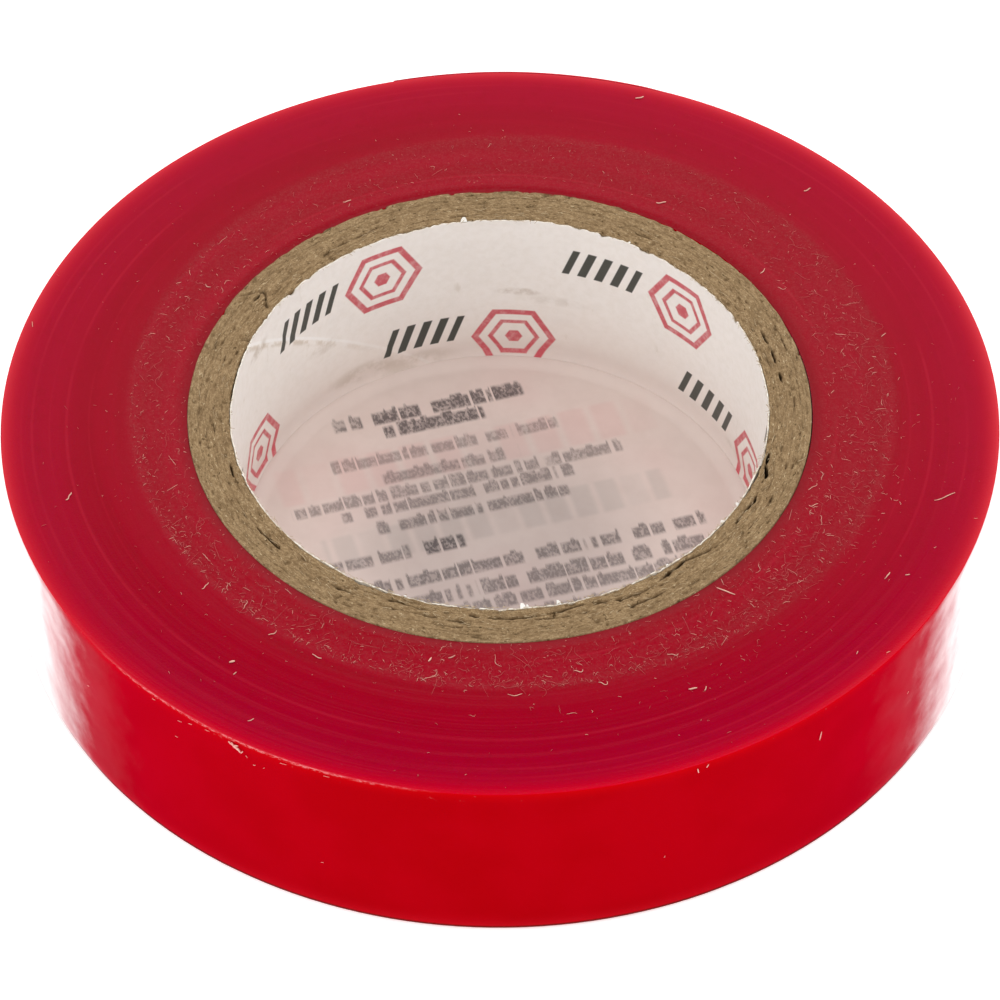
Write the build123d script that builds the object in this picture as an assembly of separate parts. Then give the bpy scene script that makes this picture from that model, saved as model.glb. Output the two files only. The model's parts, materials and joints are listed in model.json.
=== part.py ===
from build123d import *
import math
import os

# Electrical tape roll: a strip of adhesive-coated film wound on a paperboard
# core, with a printed paper liner in the bore and a round label glued over
# one face.  The roll lies flat on that label.
#
# Frame: millimetres, +Z up along the roll's axis, origin on the axis at the
# underside of the label, which is the face the roll rests on.

# ---------------------------------------------------------------- dimensions
TAPE_W = 15.0            # width of the strip, and so of the winding and core
FILM_T = 0.105           # film thickness
ADHESIVE_T = 0.025       # adhesive coat, on the film's inner face
TAPE_T = FILM_T + ADHESIVE_T
ROLL_R = 37.0            # winding's outer radius at the peel line

CORE_R = 23.0            # outside of the paperboard core
BORE_R = 19.9            # inside of the printed liner, the usable bore
LINER_T = 0.12           # liner paper
PLY_COUNT = 5            # paperboard plies wound on one another
PLY_T = (CORE_R - BORE_R - LINER_T) / PLY_COUNT

LABEL_R = 28.5           # round label over the lower face
LABEL_T = 0.09           # label paper
GLUE_T = 0.03            # glue film between the label and the roll's face
GLUE_MARGIN = 0.3        # glue stops short of the label's rim and of the bore

PEEL_ANGLE = 72.0        # where the free end lifts off, degrees from +X
TURN_OVERLAP = 0.5       # the last turn starts this far past the peel line
END_SEGMENTS = 5         # the free end bends along this many lines
SEGMENT_LENGTH = 4.0     # arc length from one bend line to the next
END_CLEARANCE = 0.03     # air between the unstuck end and the turn under it

# ------------------------------------------------------------- derived sizes
Z_LABEL = 0.0
Z_GLUE = LABEL_T
Z_ROLL = LABEL_T + GLUE_T            # lower face of winding, core and liner
Z_TOP = Z_ROLL + TAPE_W

# The wound strip follows a spiral made of half circles on two centres, so it
# moves outwards by one tape thickness each turn.  The centres lie on the line
# through the peel line, a quarter of a thickness each side of the axis.
PEEL_DIR = Vector(math.cos(math.radians(PEEL_ANGLE)),
                  math.sin(math.radians(PEEL_ANGLE)), 0)
CENTRE_NEAR = PEEL_DIR * (TAPE_T / 4)
CENTRE_FAR = PEEL_DIR * (-TAPE_T / 4)
R_TURN = ROLL_R - TAPE_T + TAPE_T / 4    # outer face, first half of the last turn

os.makedirs("parts", exist_ok=True)


def point(centre, radius, angle):
    a = math.radians(angle)
    return centre + Vector(radius * math.cos(a), radius * math.sin(a), 0)


def arc(centre, radius, start, end):
    """Arc about a centre, given by its end angles in degrees."""
    return ThreePointArc(point(centre, radius, start),
                         point(centre, radius, (start + end) / 2),
                         point(centre, radius, end))


def prism(edges, z0, height):
    """Closed outline of edges in the plane z = 0, raised to a solid."""
    face = make_face(Wire(edges))
    solid = extrude(face, amount=height, dir=(0, 0, 1))
    return Pos(0, 0, z0) * solid


def ring(r_in, r_out, z0, height):
    tube = Cylinder(r_out, height, align=(Align.CENTER, Align.CENTER, Align.MIN))
    tube -= Cylinder(r_in, height, align=(Align.CENTER, Align.CENTER, Align.MIN))
    return Pos(0, 0, z0) * tube


def write(shape, node):
    solids = shape.solids()
    assert len(solids) == 1, (node, len(solids))
    solid = solids[0]
    assert solid.is_valid, node
    export_step(solid, f"parts/{node}.step")
    print(f"{node:22s} {solid.volume:10.3f} mm3")


# ------------------------------------------------------------ label and glue
label = Pos(0, 0, Z_LABEL) * Cylinder(
    LABEL_R, LABEL_T, align=(Align.CENTER, Align.CENTER, Align.MIN))
write(label, "label_disc")
write(ring(BORE_R + GLUE_MARGIN, LABEL_R - GLUE_MARGIN, Z_GLUE, GLUE_T),
      "label_adhesive")

# ------------------------------------------------------------- liner and core
write(ring(BORE_R, BORE_R + LINER_T, Z_ROLL, TAPE_W), "core_liner")
for i in range(PLY_COUNT):
    r0 = BORE_R + LINER_T + i * PLY_T
    write(ring(r0, r0 + PLY_T, Z_ROLL, TAPE_W), f"core_ply_{i + 1}")

# -------------------------------------------------------------------- winding
A = PEEL_ANGLE
A_START = A + math.degrees(TURN_OVERLAP / R_TURN)
# Corners of the spiral, numbered inwards: on the near side of the line
# through the peel line, on its far side, and at the start of the last turn.
near_0 = point(CENTRE_NEAR, R_TURN + TAPE_T / 2, A)
near_1 = point(CENTRE_NEAR, R_TURN - TAPE_T / 2, A)
far_0 = point(CENTRE_FAR, R_TURN, A + 180)
far_1 = point(CENTRE_FAR, R_TURN - TAPE_T, A + 180)
start_0 = point(CENTRE_FAR, R_TURN, A_START)
start_1 = point(CENTRE_FAR, R_TURN - TAPE_T, A_START)
A_HALF = (A_START + A + 180) / 2


def bow(start, centre, radius, angle, end):
    """Arc from start to end, through the point at the given angle."""
    return ThreePointArc(start, point(centre, radius, angle), end)


# Bulk of the winding: spiral outside, with one step where the last turn starts.
bulk = prism([
    bow(start_1, CENTRE_FAR, R_TURN - TAPE_T, A_HALF, far_1),
    bow(far_1, CENTRE_NEAR, R_TURN - TAPE_T / 2, A + 270, near_1),
    bow(near_1, CENTRE_FAR, R_TURN, (A + A_START) / 2, start_0),
    Line(start_0, start_1),
], Z_ROLL, TAPE_W)
bulk -= Pos(0, 0, Z_ROLL) * Cylinder(
    CORE_R, TAPE_W, align=(Align.CENTER, Align.CENTER, Align.MIN))
write(bulk, "tape_winding")

# Last whole turn, one tape thickness, from the step round to the peel line.
write(prism([
    bow(start_0, CENTRE_FAR, R_TURN, A_HALF, far_0),
    bow(far_0, CENTRE_NEAR, R_TURN + TAPE_T / 2, A + 270, near_0),
    Line(near_0, near_1),
    bow(near_1, CENTRE_NEAR, R_TURN - TAPE_T / 2, A + 270, far_1),
    bow(far_1, CENTRE_FAR, R_TURN - TAPE_T, A_HALF, start_1),
    Line(start_1, start_0),
], Z_ROLL, TAPE_W), "tape_outer_turn")

# ------------------------------------------------------------------- free end
# The end lies on the start of the last turn.  Each segment is a strip of film
# with its adhesive coat inside, and bends about its outer edge.
R_END = R_TURN + END_CLEARANCE           # inner face of the adhesive coat
STEP = math.degrees(SEGMENT_LENGTH / (R_END + TAPE_T))


def segment(r_in, r_out, a0, a1):
    edges = [
        arc(CENTRE_FAR, r_out, a0, a1),
        Line(point(CENTRE_FAR, r_out, a1), point(CENTRE_FAR, r_in, a1)),
        arc(CENTRE_FAR, r_in, a1, a0),
        Line(point(CENTRE_FAR, r_in, a0), point(CENTRE_FAR, r_out, a0)),
    ]
    return prism(edges, Z_ROLL, TAPE_W)


for k in range(END_SEGMENTS):
    a0, a1 = A + k * STEP, A + (k + 1) * STEP
    write(segment(R_END, R_END + ADHESIVE_T, a0, a1), f"end_adhesive_{k + 1}")
    write(segment(R_END + ADHESIVE_T, R_END + TAPE_T, a0, a1), f"end_film_{k + 1}")
    hinge = point(CENTRE_FAR, R_END + TAPE_T, a0)
    print(f"  bend line {k + 1}: x {hinge.X:.6f}  y {hinge.Y:.6f}")
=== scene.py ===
import json
import math

import bpy
import numpy as np
from mathutils import Matrix, Vector


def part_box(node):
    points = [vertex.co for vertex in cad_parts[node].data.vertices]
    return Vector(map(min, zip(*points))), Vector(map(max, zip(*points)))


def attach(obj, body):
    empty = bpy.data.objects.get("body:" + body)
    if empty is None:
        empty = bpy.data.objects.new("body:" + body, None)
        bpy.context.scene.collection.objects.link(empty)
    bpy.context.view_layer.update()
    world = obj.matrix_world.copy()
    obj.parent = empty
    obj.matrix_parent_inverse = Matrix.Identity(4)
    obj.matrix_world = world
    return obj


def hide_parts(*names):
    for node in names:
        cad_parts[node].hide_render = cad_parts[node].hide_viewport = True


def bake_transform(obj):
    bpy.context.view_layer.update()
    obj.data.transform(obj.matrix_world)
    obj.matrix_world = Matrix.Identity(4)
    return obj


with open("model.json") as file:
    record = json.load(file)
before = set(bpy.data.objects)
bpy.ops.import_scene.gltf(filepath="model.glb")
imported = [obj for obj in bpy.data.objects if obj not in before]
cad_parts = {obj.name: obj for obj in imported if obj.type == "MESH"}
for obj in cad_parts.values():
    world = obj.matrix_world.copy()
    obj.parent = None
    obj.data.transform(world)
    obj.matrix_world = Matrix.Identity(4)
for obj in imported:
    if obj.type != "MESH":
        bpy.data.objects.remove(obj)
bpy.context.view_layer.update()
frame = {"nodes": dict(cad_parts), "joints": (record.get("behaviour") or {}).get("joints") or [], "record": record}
MM = 0.001
TAU = 2 * math.pi

# ------------------------------------------------------------ sizes from CAD
lo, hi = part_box("label_disc")
LABEL_R, LABEL_T = hi.x / MM, hi.z / MM
lo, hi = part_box("core_liner")
LINER_R, Z0, Z1 = hi.x / MM, lo.z / MM, hi.z / MM
mounts = {m["name"]: m for m in frame["record"]["mounts"]}
BORE_R = mounts["core_bore"]["dims"]["r_mm"]
PLY_R = [LINER_R] + [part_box(f"core_ply_{i}")[1].x / MM for i in range(1, 6)]
CORE_R = PLY_R[-1]
hinges = [np.array(j["pos_m"][:2]) / MM for j in frame["joints"]]
TAPE_T = 0.13
CLEAR = 0.03
# The winding's spiral: half circles on two centres, a quarter of the tape's
# thickness each side of the axis, on the line through the peel line.
PEEL = math.atan2(hinges[0][1], hinges[0][0])
PEEL_DIR = np.array([math.cos(PEEL), math.sin(PEEL)])
R_TURN = float(np.hypot(*(hinges[0] + PEEL_DIR * TAPE_T / 4))) - TAPE_T - CLEAR
SEG = 4.0                                   # arc length between bend lines
TURNS = 107
STEPS = 192                                 # samples a turn


# ------------------------------------------------------------------- helpers
def lattice(x, y, seed, py=None):
    """Smooth lattice noise in -1..1. y repeats every py cells if given."""
    x, y = np.broadcast_arrays(np.asarray(x, float), np.asarray(y, float))
    table = np.random.default_rng(seed).random((512, 512)) * 2 - 1
    xi, yi = np.floor(x).astype(int), np.floor(y).astype(int)
    fx, fy = x - xi, y - yi
    fx, fy = fx * fx * (3 - 2 * fx), fy * fy * (3 - 2 * fy)

    def at(a, b):
        if py:
            b = np.mod(b, py)
        return table[a & 511, b & 511]

    return ((at(xi, yi) * (1 - fx) + at(xi + 1, yi) * fx) * (1 - fy)
            + (at(xi, yi + 1) * (1 - fx) + at(xi + 1, yi + 1) * fx) * fy)


def smooth(a, b, x):
    t = np.clip((np.asarray(x, float) - a) / (b - a), 0, 1)
    return t * t * (3 - 2 * t)


def around(phi, centre):
    """Angle from centre to phi, in -180..180 degrees."""
    return (np.degrees(phi) - centre + 180) % 360 - 180


def mesh_object(name, verts, faces, mats, face_mat=None, sharp=35.0, flip=False):
    """verts in millimetres; faces as an array of quads or a list of loops."""
    me = bpy.data.meshes.new(name)
    faces = [list(f)[::-1] for f in faces] if flip else [list(f) for f in faces]
    me.from_pydata((np.asarray(verts, float) * MM).tolist(), [], faces)
    for m in mats:
        me.materials.append(m)
    if face_mat is not None:
        me.polygons.foreach_set("material_index", np.asarray(face_mat, np.int32))
    me.polygons.foreach_set("use_smooth", np.ones(len(me.polygons), bool))
    me.validate()
    me.update()
    if sharp:
        me.set_sharp_from_angle(angle=math.radians(sharp))
    ob = bpy.data.objects.new(name, me)
    bpy.context.scene.collection.objects.link(ob)
    return ob


def ring_mesh(name, r, z, phi, mats, row_mat=None, sharp=35.0):
    """A closed ring. r and z are (rows, angles) arrays of its closed profile,
    taken anticlockwise in the (r, z) plane."""
    rows, n = r.shape
    v = np.stack([r * np.cos(phi), r * np.sin(phi), z], -1).reshape(-1, 3)
    i, j = np.meshgrid(np.arange(rows), np.arange(n), indexing="ij")
    i2, j2 = (i + 1) % rows, (j + 1) % n
    f = np.stack([i * n + j, i * n + j2, i2 * n + j2, i2 * n + j], -1).reshape(-1, 4)
    fm = None
    if row_mat is not None:
        fm = np.repeat(np.asarray(row_mat), n)
    return mesh_object(name, v, f, mats, fm, sharp)


# ------------------------------------------------------------ node expressions
class V:
    """A number that changes over a surface, as a node socket with arithmetic."""

    def __init__(self, nt, sock):
        self.nt, self.k = nt, sock

    def op(self, name, *args, clamp=False):
        n = self.nt.nodes.new("ShaderNodeMath")
        n.operation = name
        n.use_clamp = clamp
        for i, a in enumerate((self,) + args):
            if isinstance(a, V):
                self.nt.links.new(a.k, n.inputs[i])
            else:
                n.inputs[i].default_value = a
        return V(self.nt, n.outputs[0])

    def __add__(self, o): return self.op("ADD", o)
    __radd__ = __add__
    def __sub__(self, o): return self.op("SUBTRACT", o)
    def __rsub__(self, o): return (self * -1.0) + o
    def __mul__(self, o): return self.op("MULTIPLY", o)
    __rmul__ = __mul__
    def __truediv__(self, o): return self.op("DIVIDE", o)
    def abs(self): return self.op("ABSOLUTE")
    def floor(self): return self.op("FLOOR")
    def clamp(self): return self.op("ADD", 0.0, clamp=True)
    def max(self, o): return self.op("MAXIMUM", o)
    def min(self, o): return self.op("MINIMUM", o)
    def pow(self, o): return self.op("POWER", o)
    def mod(self, o): return self.op("FLOORED_MODULO", o)

    def ramp(self, a, b, lo=0.0, hi=1.0, kind="SMOOTHSTEP"):
        n = self.nt.nodes.new("ShaderNodeMapRange")
        n.interpolation_type = kind
        self.nt.links.new(self.k, n.inputs["Value"])
        n.inputs["From Min"].default_value = a
        n.inputs["From Max"].default_value = b
        n.inputs["To Min"].default_value = lo
        n.inputs["To Max"].default_value = hi
        return V(self.nt, n.outputs["Result"])

    def inside(self, a, b, soft):
        """1 between a and b, 0 outside, with soft edges."""
        return self.ramp(a - soft, a + soft) * self.ramp(b - soft, b + soft, 1.0, 0.0)


class Mat:
    """A Principled material with object coordinates in millimetres."""

    def __init__(self, name, **plain):
        self.m = bpy.data.materials.new(name)
        self.m.use_nodes = True
        self.nt = nt = self.m.node_tree
        nt.nodes.clear()
        self.out = nt.nodes.new("ShaderNodeOutputMaterial")
        self.p = nt.nodes.new("ShaderNodeBsdfPrincipled")
        nt.links.new(self.p.outputs[0], self.out.inputs[0])
        for k, v in plain.items():
            self.p.inputs[k.replace("_", " ")].default_value = v
        tc = nt.nodes.new("ShaderNodeTexCoord")
        sc = nt.nodes.new("ShaderNodeVectorMath")
        sc.operation = "SCALE"
        sc.inputs["Scale"].default_value = 1000.0
        nt.links.new(tc.outputs["Object"], sc.inputs[0])
        self.pos = sc.outputs[0]
        sep = nt.nodes.new("ShaderNodeSeparateXYZ")
        nt.links.new(self.pos, sep.inputs[0])
        self.x, self.y, self.z = (V(nt, sep.outputs[i]) for i in range(3))

    def polar(self):
        self.r = (self.x * self.x + self.y * self.y).pow(0.5)
        self.c, self.s = self.x / self.r, self.y / self.r
        self.phi = self.y.op("ARCTAN2", self.x) * (180 / math.pi)
        return self

    def vec(self, *xyz):
        n = self.nt.nodes.new("ShaderNodeCombineXYZ")
        for i, a in enumerate(xyz):
            if isinstance(a, V):
                self.nt.links.new(a.k, n.inputs[i])
            else:
                n.inputs[i].default_value = a
        return n.outputs[0]

    def noise(self, vec, scale, detail=2.0, rough=0.5, distort=0.0):
        n = self.nt.nodes.new("ShaderNodeTexNoise")
        self.nt.links.new(vec, n.inputs["Vector"])
        n.inputs["Scale"].default_value = scale
        n.inputs["Detail"].default_value = detail
        n.inputs["Roughness"].default_value = rough
        n.inputs["Distortion"].default_value = distort
        return V(self.nt, n.outputs[0])

    def cells(self, vec, scale, feature="F1"):
        n = self.nt.nodes.new("ShaderNodeTexVoronoi")
        n.feature = feature
        self.nt.links.new(vec, n.inputs["Vector"])
        n.inputs["Scale"].default_value = scale
        return V(self.nt, n.outputs["Distance"])

    def mix(self, fac, a, b, mode="MIX"):
        n = self.nt.nodes.new("ShaderNodeMix")
        n.data_type = "RGBA"
        n.blend_type = mode
        n.clamp_factor = True
        for name, v in (("Factor", fac), ("A", a), ("B", b)):
            sock = next(s for s in n.inputs if s.name == name and s.enabled
                        and (name == "Factor" or s.type == "RGBA"))
            if isinstance(v, V):
                self.nt.links.new(v.k, sock)
            elif isinstance(v, (tuple, list)):
                sock.default_value = tuple(v) + ((1.0,) if len(v) == 3 else ())
            elif isinstance(v, (int, float)):
                sock.default_value = v
            else:
                self.nt.links.new(v, sock)
        return next(s for s in n.outputs if s.type == "RGBA")

    def colour(self, sock):
        self.nt.links.new(sock, self.p.inputs["Base Color"])

    def rough(self, v):
        self.nt.links.new(v.k, self.p.inputs["Roughness"])

    def bump(self, height, strength, dist_mm):
        n = self.nt.nodes.new("ShaderNodeBump")
        n.inputs["Strength"].default_value = strength
        n.inputs["Distance"].default_value = dist_mm * MM
        self.nt.links.new(height.k, n.inputs["Height"])
        self.nt.links.new(n.outputs[0], self.p.inputs["Normal"])
        return n.outputs[0]


# ------------------------------------------------------------------ materials
def gloss_over(a, factor, roughness, normal=None):
    """Put a mirror-like layer over the material, as strong as factor says."""
    g = a.nt.nodes.new("ShaderNodeBsdfGlossy")
    g.inputs["Roughness"].default_value = roughness
    g.inputs["Color"].default_value = (1, 1, 1, 1)
    if normal is not None:
        a.nt.links.new(normal, g.inputs["Normal"])
    mixer = a.nt.nodes.new("ShaderNodeMixShader")
    a.nt.links.new(factor.k, mixer.inputs[0])
    a.nt.links.new(a.p.outputs[0], mixer.inputs[1])
    a.nt.links.new(g.outputs[0], mixer.inputs[2])
    a.nt.links.new(mixer.outputs[0], a.out.inputs[0])


def facing(a, normal=None):
    """0 seen straight on, 1 seen edge on."""
    lw = a.nt.nodes.new("ShaderNodeLayerWeight")
    lw.inputs["Blend"].default_value = 0.5
    if normal is not None:
        a.nt.links.new(normal, lw.inputs["Normal"])
    return V(a.nt, lw.outputs["Facing"])


def film_material():
    """Outer face of the red film: deep, saturated, glossy at a slant."""
    a = Mat("red_film", Roughness=0.30, Specular_IOR_Level=0.0,
            Subsurface_Weight=0.12, Subsurface_Scale=0.9 * MM)
    a.polar()
    a.p.inputs["Subsurface Radius"].default_value = (1.0, 0.02, 0.02)
    a.p.inputs["Sheen Weight"].default_value = 0.15
    a.p.inputs["Sheen Roughness"].default_value = 0.32
    a.p.inputs["Sheen Tint"].default_value = (1.0, 0.02, 0.8, 1.0)
    streak = a.noise(a.vec(a.c * 60.0, a.s * 60.0, a.z * 0.25), 1.0, 3.0, 0.6)
    cloud = a.noise(a.pos, 0.16, 2.0)
    pores = a.noise(a.pos, 5.0, 3.0, 0.7)
    # Painted glow of light coming through the film's top edge, in a band about a millimetre deep.
    edge = a.z.ramp(Z1 - 1.3, Z1, 0.0, 1.0, "LINEAR").pow(2.0)
    # Painted glow of light from the floor on the lowest part of the film.
    floor_glow = a.z.ramp(Z0, Z0 + 1.6, 1.0, 0.0, "LINEAR").pow(2.0)
    red = a.mix(cloud.ramp(0.35, 0.65), (0.382, 0.0004, 0.0020), (0.408, 0.0005, 0.0032))
    red = a.mix(pores.ramp(0.60, 0.75, 0.0, 0.25), red, (0.47, 0.0010, 0.0020))
    red = a.mix(streak.ramp(0.62, 0.80, 0.0, 0.12), red, (0.43, 0.0010, 0.0040))
    red = a.mix(edge, red, (0.500, 0.0010, 0.0020))
    red = a.mix(floor_glow * 0.9, red, (0.500, 0.0060, 0.0120))
    # Worn, frayed spots along the top edge at the front left, with a painted pale glint on them.
    wear_and_glint = a.noise(a.vec(a.c * 120.0, a.s * 120.0, a.z * 5.0), 1.0, 3.0, 0.7)
    where = a.phi.inside(-137.0, -101.0, 5.0) * wear_and_glint.ramp(0.44, 0.62)
    red = a.mix(where * a.z.ramp(Z1 - 0.16, Z1 - 0.05) * 0.5, red, (0.80, 0.30, 0.30))
    nick = a.noise(a.vec(a.c * 70.0, a.s * 70.0, a.z * 2.2), 1.0, 2.0, 0.6)
    red = a.mix(nick.ramp(0.68, 0.74) * a.z.ramp(Z1 - 1.1, Z1 - 0.5) * 0.30, red, (0.62, 0.10, 0.10))
    # A thin painted contact shadow along the film's bottom edge.
    red = a.mix(a.z.ramp(Z0 + 0.10, Z0 + 0.34, 0.9, 0.0), red, (0.085, 0.010, 0.005))
    a.colour(red)
    wave = a.noise(a.vec(a.c * 7.0, a.s * 7.0, a.z * 0.16), 1.0, 2.0, 0.5)
    fine = a.noise(a.vec(a.c * 34.0, a.s * 34.0, a.z * 0.40), 1.0, 2.0, 0.5)
    nrm = a.bump(wave * 0.36 + fine * 0.006 + pores * 0.004, 0.20, 1.0)
    blot = a.noise(a.pos, 0.42, 4.0, 0.62)
    # Slanting light is mirrored almost whole, straight light hardly at all.
    f = facing(a, nrm) + (blot - 0.5) * 0.075
    gain = (f.ramp(0.60, 0.71, 0.0, 0.028) + f.ramp(0.684, 0.850, 0.0, 0.97)).clamp()
    gain = gain * a.z.ramp(Z1 - 0.9, Z1 + 0.1, 1.0, 0.60)
    gloss_over(a, gain, 0.30, nrm)
    return a.m


def cut_edge_material(top):
    """Wound edge of the tape: fine rings, dust, and light through the rim."""
    a = Mat("wound_edge_top" if top else "wound_edge_bottom", Roughness=0.5,
            Specular_IOR_Level=0.0, Subsurface_Weight=0.12, Subsurface_Scale=0.9 * MM)
    a.polar()
    a.p.inputs["Subsurface Radius"].default_value = (1.0, 0.02, 0.02)
    ring = a.noise(a.vec(a.r * 3.9, a.c * 1.3, a.s * 1.3), 1.0, 4.0, 0.65)
    broad = a.noise(a.vec(a.r * 0.55, a.c * 0.6, a.s * 0.6), 1.0, 2.0, 0.5)
    hair = a.noise(a.vec(a.r * 16.0, a.c * 5.0, a.s * 5.0), 1.0, 3.0, 0.6)
    mottle = a.noise(a.pos, 1.1, 4.0, 0.62)
    speck = a.noise(a.pos, 7.0, 3.0, 0.7)
    red = a.mix(broad.ramp(0.35, 0.65), (0.238, 0.0002, 0.0080), (0.262, 0.0003, 0.0104))
    red = a.mix(a.r.ramp(29.5, 35.2, 0.0, 0.85, "LINEAR"), red, (0.290, 0.0004, 0.0170))
    red = a.mix(ring.ramp(0.52, 0.75, 0.0, 0.13), red, (0.310, 0.0008, 0.0170))
    red = a.mix(hair.ramp(0.62, 0.80, 0.0, 0.13), red, (0.330, 0.008, 0.030))
    # A few turns stand a little paler all the way round.
    patch = a.noise(a.vec(a.c * 1.6, a.s * 1.6, a.r * 0.2), 1.0, 2.0, 0.6)
    for at, wide, much in ((25.0, 0.10, 0.22), (30.4, 0.06, 0.14), (32.05, 0.10, 0.26), (33.3, 0.05, 0.12),
                           (34.6, 0.09, 0.26), (35.4, 0.08, 0.22)):
        band = a.r.inside(at - wide, at + wide, 0.07) * patch.ramp(0.38, 0.60)
        red = a.mix(band * much, red, (0.400, 0.012, 0.030))
    red = a.mix(mottle.ramp(0.50, 0.70, 0.0, 0.20), red, (0.215, 0.0005, 0.0060))
    red = a.mix(speck.ramp(0.56, 0.74, 0.0, 0.30), red, (0.315, 0.0010, 0.0180))
    # Paper dust, thickest where the next roll's label lay.
    away = ((a.x - 0.9) * (a.x - 0.9) + (a.y - 1.0) * (a.y - 1.0)).pow(0.5)
    zone = away.ramp(28.1, 28.8, 1.0, 0.0)
    rim_dust = away.inside(27.7, 28.7, 0.35)
    dust = zone * 0.75 + away.ramp(28.3, 31.5, 0.25, 0.0) + rim_dust * 0.30
    grit = a.noise(a.pos, 3.2, 4.0, 0.75)
    dust = dust * speck.ramp(0.34, 0.66, 0.20, 1.0) * grit.ramp(0.34, 0.62, 0.30, 1.15)
    red = a.mix(dust * 0.055, red, (0.30, 0.24, 0.20))
    flake = a.cells(a.vec(a.x * 2.6, a.y * 2.6, a.z * 0.0), 1.0)
    size = a.noise(a.pos, 0.8, 2.0, 0.6)
    dot = (flake + (0.62 - size) * 0.9).ramp(0.05, 0.13, 1.0, 0.0) * zone.ramp(0.2, 0.6, 0.12, 1.0)
    red = a.mix(dot * 0.35, red, (0.48, 0.20, 0.15))
    # Painted shade on the wound edge next to the core.
    shade = a.r.ramp(CORE_R - 0.1, CORE_R + 1.3, 0.62, 0.0)
    red = a.mix(shade, red, (0.140, 0.0060, 0.0085))
    rim = a.r.ramp(33.0, 37.0, 0.0, 1.0, "LINEAR").pow(4.8)
    red = a.mix(rim, red, (0.530, 0.0010, 0.0130))
    # Painted pale glint on worn, frayed spots of the outermost turn's rim, at the front left.
    wear_and_glint = a.noise(a.vec(a.c * 120.0, a.s * 120.0, a.r * 6.0), 1.0, 3.0, 0.7)
    glint = a.r.ramp(36.78, 36.90) * wear_and_glint.ramp(0.42, 0.60) * a.phi.inside(-136.0, -101.0, 5.0)
    red = a.mix(glint * 0.55, red, (0.80, 0.30, 0.30))
    a.colour(red)
    a.rough(ring.ramp(0.35, 0.70, 0.44, 0.60))
    nrm = a.bump(ring * 0.006 + hair * 0.004 + speck * 0.010, 0.7, 1.0)
    f = facing(a, nrm)
    polish = a.r.ramp(34.5, 37.0, 0.0, 1.0, "LINEAR").pow(5.0) * 4.6 + 1.15
    gain = f.ramp(0.230, 0.277, 0.0, 0.0040, "LINEAR") * polish + f.ramp(0.37, 0.95, 0.0, 0.26)
    gloss_over(a, gain, 0.38, nrm)
    return a.m


def chipboard_material():
    """Cut end of paperboard: fibres lying round the ring, dark flecks."""
    a = Mat("chipboard", Roughness=0.92, Specular_IOR_Level=0.08)
    a.polar()
    fibre = a.noise(a.vec(a.r * 6.0, a.c * 34.0, a.s * 34.0), 1.0, 4.0, 0.70)
    fine = a.noise(a.vec(a.r * 11.0, a.c * 110.0, a.s * 110.0 + a.z * 1.5), 1.0, 3.0, 0.65)
    fleck = a.noise(a.vec(a.r * 5.5, a.c * 52.0, a.s * 52.0 + 7.7), 1.0, 2.0, 0.6)
    cloud = a.noise(a.pos, 0.55, 3.0, 0.6)
    pale = a.noise(a.vec(a.r * 8.0, a.c * 60.0, a.s * 60.0 + 3.3), 1.0, 2.0, 0.6)
    grain = a.noise(a.pos, 6.5, 3.0, 0.75)
    tone = a.mix(cloud.ramp(0.32, 0.68), (0.244, 0.160, 0.082), (0.288, 0.191, 0.100))
    chip = a.noise(a.vec(a.r * 2.6, a.c * 24.0, a.s * 24.0 + 5.1), 1.0, 3.0, 0.7)
    tone = a.mix(chip.ramp(0.50, 0.60, 0.0, 0.45), tone, (0.380, 0.262, 0.140))
    tone = a.mix(chip.ramp(0.38, 0.47, 0.45, 0.0), tone, (0.170, 0.106, 0.052))
    tone = a.mix(fibre.ramp(0.46, 0.66, 0.0, 0.70), tone, (0.410, 0.290, 0.160))
    tone = a.mix(fibre.ramp(0.30, 0.46, 0.60, 0.0), tone, (0.140, 0.084, 0.037))
    tone = a.mix(fine.ramp(0.40, 0.60, 0.55, 0.0), tone, (0.165, 0.100, 0.047))
    tone = a.mix(grain.ramp(0.56, 0.72, 0.0, 0.52), tone, (0.500, 0.372, 0.222))
    tone = a.mix(grain.ramp(0.30, 0.44, 0.60, 0.0), tone, (0.120, 0.070, 0.030))
    tone = a.mix(fleck.ramp(0.28, 0.38, 0.85, 0.0), tone, (0.060, 0.033, 0.012))
    tone = a.mix(pale.ramp(0.64, 0.74, 0.0, 0.75), tone, (0.62, 0.49, 0.31))
    # Painted shade in the cracks and dips of the board, darker the lower the surface lies.
    crevice_shade = a.z.ramp(Z1 - 0.42, Z1 - 0.06, 1.0, 0.0)
    tone = a.mix(crevice_shade * 0.80, tone, (0.055, 0.030, 0.012))
    a.colour(tone)
    a.bump(fibre * 0.12 + fine * 0.06 + grain * 0.05, 0.9, 1.0)
    return a.m


def paper_noise(a, base, shade, scale=1.6):
    mottle = a.noise(a.pos, scale, 4.0, 0.6)
    tooth = a.noise(a.pos, 11.0, 2.0, 0.6)
    c = a.mix(mottle.ramp(0.35, 0.68, 0.0, 0.7), base, shade)
    return c, mottle, tooth


def hexagon(u, v):
    """Distance from the centre, measured so that equal values are hexagons."""
    return (u.abs() * 0.8660 + v.abs() * 0.5).max(v.abs())


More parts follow.
